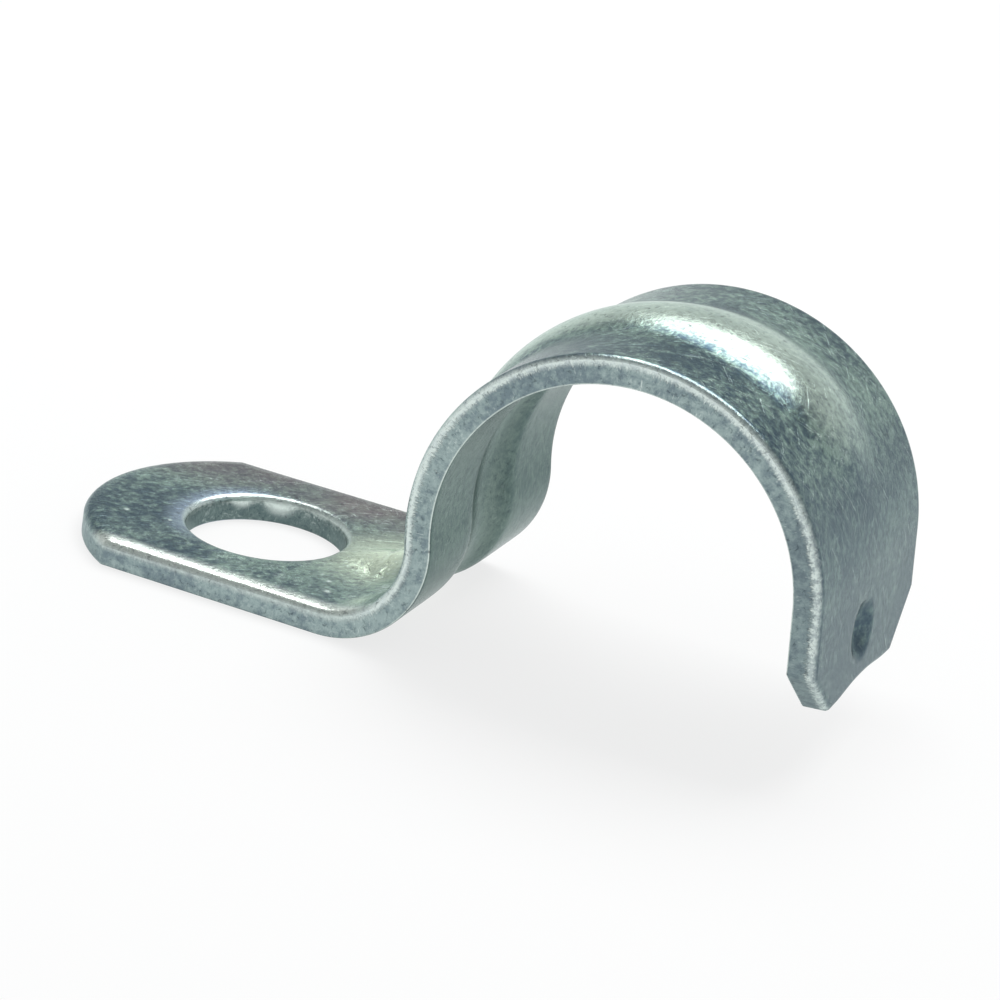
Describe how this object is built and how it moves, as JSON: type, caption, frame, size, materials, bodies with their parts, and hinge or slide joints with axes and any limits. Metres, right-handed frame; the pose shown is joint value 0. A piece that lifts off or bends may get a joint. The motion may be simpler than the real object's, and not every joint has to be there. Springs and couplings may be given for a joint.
{
  "type": "conduit strap",
  "caption": "One-hole conduit strap bent from one steel strip, with a round screw foot, a ribbed saddle and a straight dimpled nose.",
  "frame": {"origin": "centre of the screw hole on the foot's mounting face", "axes": "+X along the strap from the foot to the nose, +Y across the strip along the conduit, +Z away from the mounting surface"},
  "size_m": [0.041, 0.015, 0.0187],
  "materials": {
    "zinc_plated_steel": "bright zinc-plated spring steel with fine scuffs, sheared edges a little duller"
  },
  "bodies": {
    "root": {"strap": "zinc_plated_steel"}
  },
  "joints": []
}
